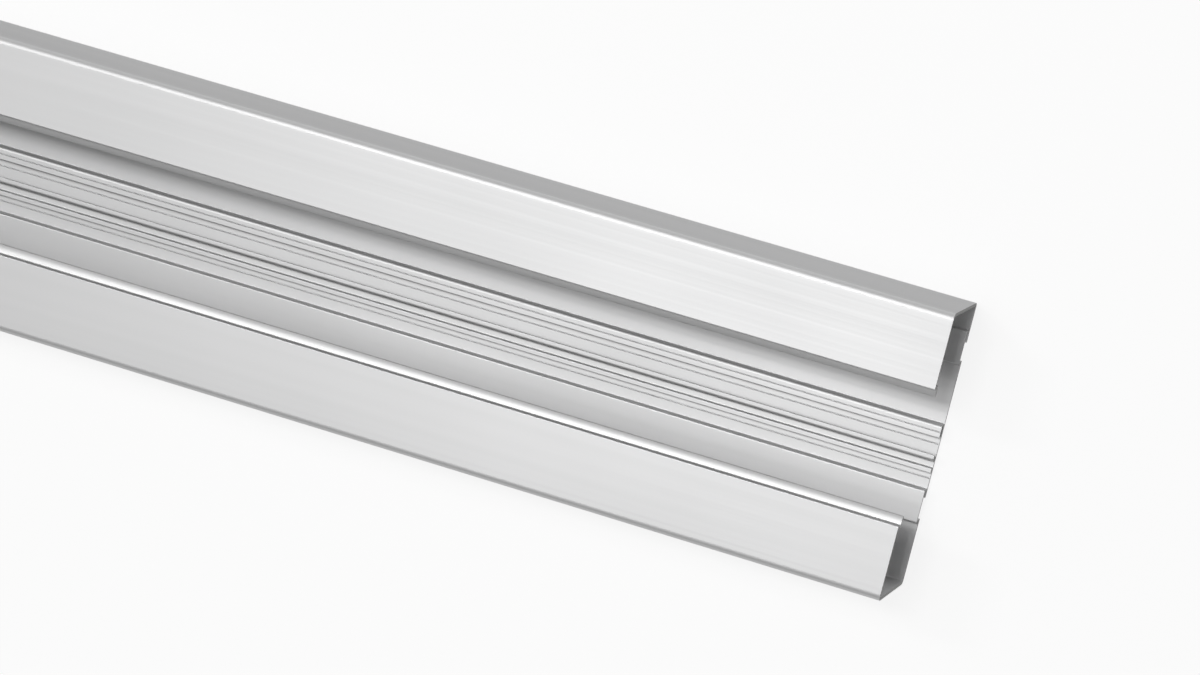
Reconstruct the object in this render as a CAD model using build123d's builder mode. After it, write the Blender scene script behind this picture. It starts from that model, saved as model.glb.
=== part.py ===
from build123d import *
import os

# Aluminium cable duct: one open-fronted trunking extrusion, sawn square at both ends.
# It lies on its back. +X runs along the length, +Y is the side that is uppermost on a wall,
# +Z comes out of the open front. The origin is the middle of the rear face.
# Every size is in millimetres and every angle in degrees.

# Overall section
length = 2000.0
width = 170.0
depth = 65.0
side_wall = 2.0
back_wall = 2.0
front_wall = 2.0
front_corner_radius = 4.0
back_corner_radius = 3.0

# Front opening: the cover drops in between two flanges and rests on the stepped lips
cover_gap = 80.5
step_depth = 5.5
step_wall = 2.0
flange_edge_radius = 0.6
lip_wall = 2.0
lip_roll_radius = 9.0
lip_roll_angle = 45.0
lip_tip_radius = 0.8

# Hook channels in the back wall, open to the rear, that drop over wall brackets
channel_width = 20.0
channel_height = 8.2
channel_wall = 1.8
channel_corner_radius = 1.0
upper_channel_from_top = 26.7
upper_channel_catch = 5.4
lower_channel_from_bottom = 48.0
lower_channel_catch = 3.6

# Rail on the back wall that takes slide-in nuts and clips
rail_width = 22.1
rail_height = 7.8
rail_wall = 1.5
rail_corner_radius = 2.0
rail_above_middle = 1.15
rail_upper_lip = 7.8
rail_lower_lip = 4.0

# Small retaining rib below the rail
rib_below_middle = 14.2
rib_width = 2.8
rib_height = 5.6
rib_wall = 1.3
rib_corner_radius = 0.4

# Fine marking grooves that guide a drill
groove_width = 0.9
groove_depth = 0.45
floor_groove_below_middle = 20.6
lip_groove_from_tip = 3.5

# Small radii left by the extrusion die
edge_radius = 0.4
root_radius = 0.5

# Places worked out from the sizes above
half_width = width / 2
half_gap = cover_gap / 2
lip_face = depth - step_depth
lip_roll_middle = half_gap + step_wall / 2
upper_channel_middle = half_width - upper_channel_from_top
lower_channel_middle = lower_channel_from_bottom - half_width
rail_top = rail_above_middle + rail_width / 2
rail_bottom = rail_above_middle - rail_width / 2
rail_upper_tip = rail_top - rail_upper_lip
rail_lower_tip = rail_bottom + rail_lower_lip
rib_top = -rib_below_middle


def block(low_y, low_z, high_y, high_z, mode=Mode.ADD):
    """Add or cut an upright rectangle given by its low and high corners."""
    with Locations(((low_y + high_y) / 2, (low_z + high_z) / 2)):
        Rectangle(high_y - low_y, high_z - low_z, mode=mode)


def corners(sketch, *points):
    """Pick the vertices of the section that stand at the given (y, z) points."""
    return [sketch.vertices().sort_by_distance((y, z, 0))[0] for y, z in points]


def add_half_shell(sketch):
    """Draw the back wall, side wall and front flange of the side with positive y."""
    inner_y, inner_front = half_width - side_wall, depth - front_wall
    block(0, 0, half_width, depth)
    block(0, back_wall, inner_y, inner_front, mode=Mode.SUBTRACT)
    block(0, inner_front, half_gap, depth, mode=Mode.SUBTRACT)
    fillet(corners(sketch, (half_width, depth)), radius=front_corner_radius)
    fillet(corners(sketch, (inner_y, inner_front)), radius=front_corner_radius - side_wall)
    fillet(corners(sketch, (half_width, 0)), radius=back_corner_radius)
    fillet(corners(sketch, (inner_y, back_wall)), radius=back_corner_radius - side_wall)


def add_lip(sketch):
    """Add the step and the rolled lip that the cover seats on, on the same side."""
    under_lip, step_back = lip_face - lip_wall, half_gap + step_wall
    upper_start, lower_start, inwards = (lip_roll_middle, lip_face), (lip_roll_middle, under_lip), (-1, 0)
    with BuildLine() as lip_outline:
        upper_arc = JernArc(upper_start, inwards, lip_roll_radius, lip_roll_angle)
        lower_arc = JernArc(lower_start, inwards, lip_roll_radius - lip_wall, lip_roll_angle)
        Line(upper_arc @ 1, lower_arc @ 1)
        Polyline(upper_start, (step_back, lip_face), (step_back, under_lip), lower_start)
    make_face(lip_outline.edges())
    tip_corners = [(end.X, end.Y) for end in (upper_arc @ 1, lower_arc @ 1)]
    fillet(corners(sketch, *tip_corners), radius=lip_tip_radius)
    block(half_gap, lip_face - lip_wall / 2, step_back, depth - front_wall)
    fillet(corners(sketch, (half_gap, depth)), radius=flange_edge_radius)
    fillet(corners(sketch, (half_gap, lip_face), (step_back, depth - front_wall)), radius=root_radius)
    fillet(corners(sketch, (step_back, under_lip)), radius=edge_radius)


def add_hook_channel(sketch, middle, catch):
    """Press one hook channel out of the back wall, with its catch along the upper rear edge."""
    low, high = middle - channel_width / 2, middle + channel_width / 2
    inner_low, inner_high = low + channel_wall, high - channel_wall
    inner_face, mouth_high = channel_height - channel_wall, inner_high - catch
    block(low, 0, high, channel_height)
    block(inner_low, back_wall, inner_high, inner_face, mode=Mode.SUBTRACT)
    block(inner_low, 0, mouth_high, back_wall, mode=Mode.SUBTRACT)
    fillet(corners(sketch, (low, channel_height), (high, channel_height)), radius=channel_corner_radius)
    fillet(
        corners(
            sketch,
            (low, back_wall),
            (high, back_wall),
            (inner_low, inner_face),
            (inner_high, inner_face),
            (inner_high, back_wall),
        ),
        radius=root_radius,
    )
    fillet(corners(sketch, (inner_low, 0), (mouth_high, 0), (mouth_high, back_wall)), radius=edge_radius)


def add_hook(sketch, outer, tip, height, thickness, corner_radius):
    """Add a rail hook: an upright at y = outer whose lip reaches over the slot as far as y = tip."""
    inner = outer + thickness if tip > outer else outer - thickness
    under_lip = height - thickness
    block(min(outer, inner), back_wall, max(outer, inner), height)
    block(min(outer, tip), under_lip, max(outer, tip), height)
    fillet(corners(sketch, (outer, back_wall), (inner, back_wall), (inner, under_lip)), radius=root_radius)
    fillet(corners(sketch, (outer, height)), radius=corner_radius)
    fillet(corners(sketch, (tip, height), (tip, under_lip)), radius=edge_radius)


def cut_groove(middle, surface):
    """Cut one fine vee groove into a face that looks out of the front."""
    Polygon(
        (middle - groove_width / 2, surface),
        (middle, surface - groove_depth),
        (middle + groove_width / 2, surface),
        align=None,
        mode=Mode.SUBTRACT,
    )


with BuildPart() as duct_profile:
    with BuildSketch(Plane.YZ) as section:
        add_half_shell(section)
        add_lip(section)
        mirror(about=Plane.YZ)
        add_hook_channel(section, upper_channel_middle, upper_channel_catch)
        add_hook_channel(section, lower_channel_middle, lower_channel_catch)
        add_hook(section, rail_top, rail_upper_tip, rail_height, rail_wall, rail_corner_radius)
        add_hook(section, rail_bottom, rail_lower_tip, rail_height, rail_wall, rail_corner_radius)
        add_hook(section, rib_top, rib_top - rib_width, rib_height, rib_wall, rib_corner_radius)
        cut_groove(0, back_wall)
        cut_groove(-floor_groove_below_middle, back_wall)
        cut_groove(rail_upper_tip + lip_groove_from_tip, rail_height)
    extrude(amount=length / 2, both=True)

duct_profile.part.label = "duct_profile"
os.makedirs("parts", exist_ok=True)
export_step(duct_profile.part, "parts/duct_profile.step")
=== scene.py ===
"""Looks of the aluminium cable duct: its mill finish, its sawn ends, and the studio it lies in."""

import logging
import math
from collections.abc import Mapping
from dataclasses import dataclass
from enum import Enum
from typing import Any

import bpy
from mathutils import Matrix, Vector

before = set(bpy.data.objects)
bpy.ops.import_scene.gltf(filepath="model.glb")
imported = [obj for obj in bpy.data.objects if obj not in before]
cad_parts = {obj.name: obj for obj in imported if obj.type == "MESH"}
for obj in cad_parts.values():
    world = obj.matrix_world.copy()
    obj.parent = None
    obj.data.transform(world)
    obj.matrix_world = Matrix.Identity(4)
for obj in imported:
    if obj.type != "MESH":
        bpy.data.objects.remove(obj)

LOG = logging.getLogger("cable_duct")

# Lengths are in metres, the lens and its sensor in millimetres, and lamps in watts
MM = 0.001
NOISE_MIDDLE = 0.5

Colour = tuple[float, float, float]
Triple = tuple[float, float, float]

WHITE: Colour = (1.0, 1.0, 1.0)
# Factors that drop the length from a position and keep the section
SECTION_ONLY: Triple = (0.0, 1.0, 1.0)


class SeenBy(Enum):
    """The kinds of ray that see the floor's own white, named after their Light Path outputs."""

    CAMERA = "Is Camera Ray"
    GLOSSY = "Is Glossy Ray"
    TRANSMISSION = "Is Transmission Ray"


class Wire:
    """An output of a shader node, on which Python arithmetic adds Math nodes."""

    def __init__(self, sheet: "NodeSheet", socket: bpy.types.NodeSocket) -> None:
        """Wrap one socket.

        Args:
            sheet: The node sheet that new nodes are added to.
            socket: The output socket to read.
        """
        self.sheet = sheet
        self.socket = socket

    def other(self, output: str) -> "Wire":
        """Give another output of the same node.

        Args:
            output: The name of that output.

        Returns:
            A wire from it.
        """
        return Wire(self.sheet, self.socket.node.outputs[output])

    def __add__(self, other: "Wire | float") -> "Wire":
        """Add a wire or a number."""
        return self.sheet.math("ADD", self, other)

    def __radd__(self, other: float) -> "Wire":
        """Add this wire to a number."""
        return self.sheet.math("ADD", other, self)

    def __sub__(self, other: "Wire | float") -> "Wire":
        """Subtract a wire or a number."""
        return self.sheet.math("SUBTRACT", self, other)

    def __rsub__(self, other: float) -> "Wire":
        """Subtract this wire from a number."""
        return self.sheet.math("SUBTRACT", other, self)

    def __mul__(self, other: "Wire | float") -> "Wire":
        """Multiply by a wire or a number."""
        return self.sheet.math("MULTIPLY", self, other)

    def __rmul__(self, other: float) -> "Wire":
        """Multiply a number by this wire."""
        return self.sheet.math("MULTIPLY", other, self)

    def __abs__(self) -> "Wire":
        """Take the size without the sign."""
        return self.sheet.math("ABSOLUTE", self)


class NodeSheet:
    """A node tree that is filled by calls and expressions."""

    def __init__(self, tree: bpy.types.NodeTree) -> None:
        """Empty the tree and keep it.

        Args:
            tree: The node tree of a material or of the world.
        """
        self.tree = tree
        self.tree.nodes.clear()

    def node(
        self,
        kind: str,
        settings: Mapping[str, Any] | None = None,
        inputs: Mapping[str | int, Any] | None = None,
        output: str | int = 0,
    ) -> Wire:
        """Add one node of any type.

        Args:
            kind: The node's type, such as ShaderNodeTexNoise.
            settings: Properties set before the sockets, such as a Math node's operation.
            inputs: Values or wires for the sockets, by name or number.
            output: The output to give back, by name or number.

        Returns:
            A wire from that output.
        """
        made = self.tree.nodes.new(kind)
        for name, value in (settings or {}).items():
            setattr(made, name, value)
        for name, value in (inputs or {}).items():
            if isinstance(value, Wire):
                self.tree.links.new(value.socket, made.inputs[name])
            else:
                made.inputs[name].default_value = value
        return Wire(self, made.outputs[output])

    def finish_with(self, kind: str, inputs: Mapping[str, Wire]) -> None:
        """Add the output node that ends a tree.

        Args:
            kind: The output node's type.
            inputs: The wires that reach it.
        """
        made = self.tree.nodes.new(kind)
        for name, wire in inputs.items():
            self.tree.links.new(wire.socket, made.inputs[name])

    def math(self, operation: str, *values: Wire | float) -> Wire:
        """Add a Math node.

        Args:
            operation: The node's operation.
            values: Its inputs in order.

        Returns:
            A wire with the result.
        """
        return self.node("ShaderNodeMath", {"operation": operation}, dict(enumerate(values)))

    def step(self, value: Wire, low: float, high: float) -> Wire:
        """Rise smoothly from 0 to 1 while the value goes from low to high.

        Args:
            value: The wire to read.
            low: Where the result is still 0.
            high: Where the result is 1.

        Returns:
            A wire from 0 to 1.
        """
        return self.node(
            "ShaderNodeMapRange",
            {"interpolation_type": "SMOOTHSTEP"},
            {"Value": value, "From Min": low, "From Max": high},
        )

    def blend(self, share: Wire | float, first: Wire | Colour, second: Wire | Colour) -> Wire:
        """Mix two colours.

        Args:
            share: How much of the second colour, from 0 to 1.
            first: A wire or a colour.
            second: A wire or a colour.

        Returns:
            A wire with the mixed colour.
        """
        ends = [c if isinstance(c, Wire) else (*c, 1.0) for c in (first, second)]
        return self.node(
            "ShaderNodeMix",
            {"data_type": "RGBA"},
            {0: share, 6: ends[0], 7: ends[1]},
            output=2,
        )

    def stretched(self, place: Wire, per_metre: Triple) -> Wire:
        """Scale a position by a factor for each axis.

        Args:
            place: A wire with a position in metres.
            per_metre: The factors along X, Y and Z.

        Returns:
            A wire with the scaled position.
        """
        return self.node(
            "ShaderNodeVectorMath", {"operation": "MULTIPLY"}, {0: place, 1: per_metre}
        )

    def noise(self, place: Wire, per_metre: Triple, detail: float = 2.0) -> Wire:
        """Add noise, stretched along the axes that have a small factor.

        Args:
            place: A wire with a position in metres.
            per_metre: Noise cells per metre along X, Y and Z.
            detail: How many finer layers of noise are added.

        Returns:
            A wire from 0 to 1, about 0.5 on average.
        """
        return self.node(
            "ShaderNodeTexNoise",
            {"noise_dimensions": "3D"},
            {"Vector": self.stretched(place, per_metre), "Scale": 1.0, "Detail": detail},
        )


@dataclass(frozen=True)
class MillAluminium:
    """Satin aluminium as it leaves the die, with sawn ends."""

    name: str = "mill_finish_aluminium"
    face: Colour = (0.805, 0.805, 0.808)
    streak: Colour = (0.765, 0.768, 0.768)
    roughness: float = 0.58
    # The satin surface returns little light where it is seen almost edge on
    edge_on_tint: float = 0.08
    # Fine lines that the die leaves along the length
    line_cells: Triple = (0.4, 1500.0, 1500.0)
    line_detail: float = 3.0
    line_height: float = 0.004 * MM
    line_roughness: float = 0.10
    # Wider, fainter bands along the length, with the noise where one starts and is full
    band_cells: Triple = (0.9, 110.0, 110.0)
    band_start: float = 0.35
    band_full: float = 0.75
    band_colour: float = 0.5
    # Even grain of the satin surface
    grain_cells: Triple = (2600.0, 2600.0, 2600.0)
    grain_height: float = 0.0015 * MM
    # Slow drift of gloss from handling
    cloud_cells: Triple = (7.0, 16.0, 16.0)
    cloud_roughness: float = 0.06
    # Sawn end faces: the ones that look along the length by at least this share
    sawn_from: float = 0.7
    # The sawn ends' dark grey is partly their own dull sawn tone and partly painted shade on the
    # cut edges
    sawn: Colour = (0.36, 0.36, 0.355)
    sawn_ridge: Colour = (0.50, 0.50, 0.495)
    sawn_roughness: float = 0.62
    # Arcs that the saw blade leaves there, about a middle that lies off the duct
    blade_middle: Triple = (0.0, 0.16, 0.24)
    blade_pitch: float = 0.55 * MM
    blade_mark_height: float = 0.02 * MM
    blade_wander: float = 0.8
    wander_cells: Triple = (300.0, 300.0, 300.0)

    def material(self) -> bpy.types.Material:
        """Make the material.

        Returns:
            The finished material.
        """
        made = bpy.data.materials.new(self.name)
        made.use_nodes = True
        sheet = NodeSheet(made.node_tree)
        place = sheet.node("ShaderNodeTexCoord", output="Object")
        sawn = self.sawn_mask(sheet, place)
        marks = self.blade_marks(sheet, place)
        lines = sheet.noise(place, self.line_cells, self.line_detail)
        bands = sheet.noise(place, self.band_cells)
        clouds = sheet.noise(place, self.cloud_cells)
        grain = sheet.noise(place, self.grain_cells)

        streaks = self.band_colour * sheet.step(bands, self.band_start, self.band_full)
        face = sheet.blend(streaks, self.face, self.streak)
        # Partly painted shade: the sawn ends' dark grey stands in part for shade on the cut edges
        end = sheet.blend(marks, self.sawn, self.sawn_ridge)
        gloss = (
            self.roughness
            + self.line_roughness * (lines - NOISE_MIDDLE)
            + self.cloud_roughness * (clouds - NOISE_MIDDLE)
        )
        satin = self.line_height * lines + self.grain_height * grain
        relief = (1.0 - sawn) * satin + self.blade_mark_height * (sawn * marks)
        bump = sheet.node(
            "ShaderNodeBump", None, {"Strength": 1.0, "Distance": 1.0, "Height": relief}
        )
        shader = sheet.node(
            "ShaderNodeBsdfPrincipled",
            {"distribution": "GGX"},
            {
                "Base Color": sheet.blend(sawn, face, end),
                "Metallic": 1.0,
                "Roughness": gloss + (self.sawn_roughness - gloss) * sawn,
                "Specular Tint": (self.edge_on_tint,) * 3 + (1.0,),
                "Normal": bump,
            },
        )
        sheet.finish_with("ShaderNodeOutputMaterial", {"Surface": shader})
        return made

    def sawn_mask(self, sheet: NodeSheet, place: Wire) -> Wire:
        """Find the end faces, which look along the length.

        Args:
            sheet: The material's node sheet.
            place: A wire with the position in metres.

        Returns:
            A wire that is 1 on the end faces and 0 elsewhere.
        """
        along = sheet.node("ShaderNodeSeparateXYZ", None, {0: place.other("Normal")}, "X")
        return sheet.math("GREATER_THAN", abs(along), self.sawn_from)

    def blade_marks(self, sheet: NodeSheet, place: Wire) -> Wire:
        """Draw the arcs that a saw blade leaves on the end faces.

        Args:
            sheet: The material's node sheet.
            place: A wire with the position in metres.

        Returns:
            A wire from 0 to 1.
        """
        across = sheet.stretched(place, SECTION_ONLY)
        reach = sheet.node(
            "ShaderNodeVectorMath",
            {"operation": "DISTANCE"},
            {0: across, 1: self.blade_middle},
            "Value",
        )
        wander = self.blade_wander * sheet.noise(place, self.wander_cells)
        turns = reach * (math.tau / self.blade_pitch) + math.tau * wander
        return 0.5 + 0.5 * sheet.math("SINE", turns)


@dataclass(frozen=True)
class PaleFloor:
    """The floor that the duct lies on: white, with the duct's soft shadow."""

    name: str = "studio_floor"
    half_width: float = 60.0
    # Below the rear face, so that the two never share one plane
    drop: float = 0.3 * MM
    paint: Colour = (0.94, 0.94, 0.94)
    # Share of plain white mixed into the lit paint, so that the shadow stays but is faint
    glow: float = 0.84

    def build(self) -> bpy.types.Object:
        """Make the floor under the duct.

        Returns:
            The floor.
        """
        half, level = self.half_width, -self.drop
        corners = [(x * half, y * half, level) for x, y in ((-1, -1), (1, -1), (1, 1), (-1, 1))]
        mesh = bpy.data.meshes.new(self.name)
        mesh.from_pydata(corners, [], [(0, 1, 2, 3)])
        mesh.materials.append(self.material())
        made = bpy.data.objects.new(self.name, mesh)
        bpy.context.scene.collection.objects.link(made)
        return made

    def material(self) -> bpy.types.Material:
        """Make the floor's white, part of it lit paint and part of it its own.

        Returns:
            The material.
        """
        made = bpy.data.materials.new(self.name)
        made.use_nodes = True
        sheet = NodeSheet(made.node_tree)
        seen = sheet.node("ShaderNodeLightPath", output=SeenBy.CAMERA.value)
        for kind in (SeenBy.GLOSSY, SeenBy.TRANSMISSION):
            seen = sheet.math("MAXIMUM", seen, sheet.node("ShaderNodeLightPath", output=kind.value))
        lit = sheet.node("ShaderNodeBsdfDiffuse", None, {"Color": (*self.paint, 1.0)})
        own = sheet.node("ShaderNodeEmission", None, {"Color": (*WHITE, 1.0), "Strength": 1.0})
        shader = sheet.node("ShaderNodeMixShader", None, {0: self.glow * seen, 1: lit, 2: own})
        sheet.finish_with("ShaderNodeOutputMaterial", {"Surface": shader})
        return made


@dataclass(frozen=True)
class StudioAir:
    """The room round the duct: a pale wall all round under a dim ceiling."""

    name: str = "studio_air"
    wall: Colour = (0.62, 0.62, 0.62)
    ceiling: Colour = (0.18, 0.18, 0.18)
    # Where the wall starts to fade and the ceiling is reached: 0 is level, 1 straight up
    wall_until: float = 0.3
    ceiling_from: float = 0.5

    def build(self) -> bpy.types.World:
        """Make the world and give it to the scene.

        Returns:
            The world.
        """
        made = bpy.data.worlds.new(self.name)
        made.use_nodes = True
        sheet = NodeSheet(made.node_tree)
        direction = sheet.node("ShaderNodeTexCoord", output="Generated")
        height = sheet.node("ShaderNodeSeparateXYZ", None, {0: direction}, "Z")
        share = sheet.step(height, self.wall_until, self.ceiling_from)
        colour = sheet.blend(share, self.wall, self.ceiling)
        light = sheet.node("ShaderNodeBackground", None, {"Color": colour, "Strength": 1.0})
        sheet.finish_with("ShaderNodeOutputWorld", {"Surface": light})
        bpy.context.scene.world = made
        return made


@dataclass(frozen=True)
class SoftBox:
    """A rectangular studio lamp that hangs above the duct and faces straight down."""

    name: str
    middle: Triple
    along: float
    across: float
    power: float

    def build(self) -> bpy.types.Object:
        """Hang the lamp.

        Returns:
            The lamp object.
        """
        data = bpy.data.lights.new(self.name, "AREA")
        data.shape = "RECTANGLE"
        data.size, data.size_y = self.along, self.across
        data.energy = self.power
        made = bpy.data.objects.new(self.name, data)
        bpy.context.scene.collection.objects.link(made)
        made.location = self.middle
        made.visible_camera = False
        return made


@dataclass(frozen=True)
class PhotoCamera:
    """The camera, where the photograph was taken from."""

    name: str = "photo_camera"
    eye: Triple = (1.42987, 0.47954, 2.63919)
    aim: Triple = (0.78985, 0.00306, 0.0)
    roll: float = math.radians(14.16)
    lens: float = 141.449
    sensor: float = 36.0
    nearest: float = 0.05
    farthest: float = 500.0

    def build(self) -> bpy.types.Object:
        """Set the camera up and make it the scene's own.

        Returns:
            The camera object.
        """
        data = bpy.data.cameras.new(self.name)
        data.sensor_width = self.sensor
        data.lens = self.lens
        data.clip_start, data.clip_end = self.nearest, self.farthest
        made = bpy.data.objects.new(self.name, data)
        bpy.context.scene.collection.objects.link(made)
        made.matrix_world = looking(Vector(self.eye), Vector(self.aim), self.roll)
        bpy.context.scene.camera = made
        return made


def looking(eye: Vector, aim: Vector, roll: float) -> Matrix:
    """Place something that looks from one point at another.

    Args:
        eye: Where it stands.
        aim: The point it looks at.
        roll: How far it is turned about its own line of sight, in radians.

    Returns:
        Its matrix, with +Y of the duct upwards before the roll.
    """
    forward = (aim - eye).normalized()
    right = forward.cross(Vector((0.0, 1.0, 0.0))).normalized()
    up = right.cross(forward)
    turn = Matrix((right, up, -forward)).transposed().to_4x4()
    return Matrix.Translation(eye) @ turn @ Matrix.Rotation(roll, 4, "Z")


@dataclass(frozen=True)
class DuctProfile:
    """The duct itself: one extrusion, whose solid is kept as it is and only dressed."""

    node: str
    finish: MillAluminium

    def dress(self) -> bpy.types.Object:
        """Give the solid its finish in each of its material slots.

        Returns:
            The dressed object.
        """
        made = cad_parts[self.node]
        finish = self.finish.material()
        for place in made.material_slots:
            place.material = finish
        return made


# Two large banks far off on the upper side, and two small boxes close over the seen end
SOFTBOXES = (
    SoftBox("middle_bank", (0.15, 2.42, 9.0), 3.0, 1.2, 308.0),
    SoftBox("left_bank", (-5.72, 3.65, 9.0), 3.56, 1.28, 262.0),
    SoftBox("top_softbox", (0.65, 0.12, 1.2), 0.38, 0.34, 1.64),
    SoftBox("side_softbox", (0.9, -0.11, 1.2), 0.38, 0.26, 1.0),
)
DUCT_FINISH = MillAluminium()
FLOOR = PaleFloor()
AIR = StudioAir()
CAMERA = PhotoCamera()


def main() -> None:
    """Dress the duct and set up its studio, and log what was made."""
    logging.basicConfig(level=logging.INFO, format="%(name)s: %(message)s")
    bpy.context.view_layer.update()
    settings = bpy.context.scene.view_settings
    settings.view_transform = "Standard"

    camera = CAMERA.build()
    LOG.info("%s: %.1f mm lens, looking from %s", camera.name, CAMERA.lens, CAMERA.eye)
    floor = FLOOR.build()
    LOG.info("%s: at the duct's rear face", floor.name)
    air = AIR.build()
    LOG.info("%s: pale wall under a dim ceiling", air.name)
    for box in SOFTBOXES:
        lamp = box.build()
        LOG.info("%s: %g W", lamp.name, box.power)
    duct = DuctProfile("duct_profile", DUCT_FINISH).dress()
    LOG.info("%s: %s", duct.name, DUCT_FINISH.name)


if __name__ == "__main__":
    main()
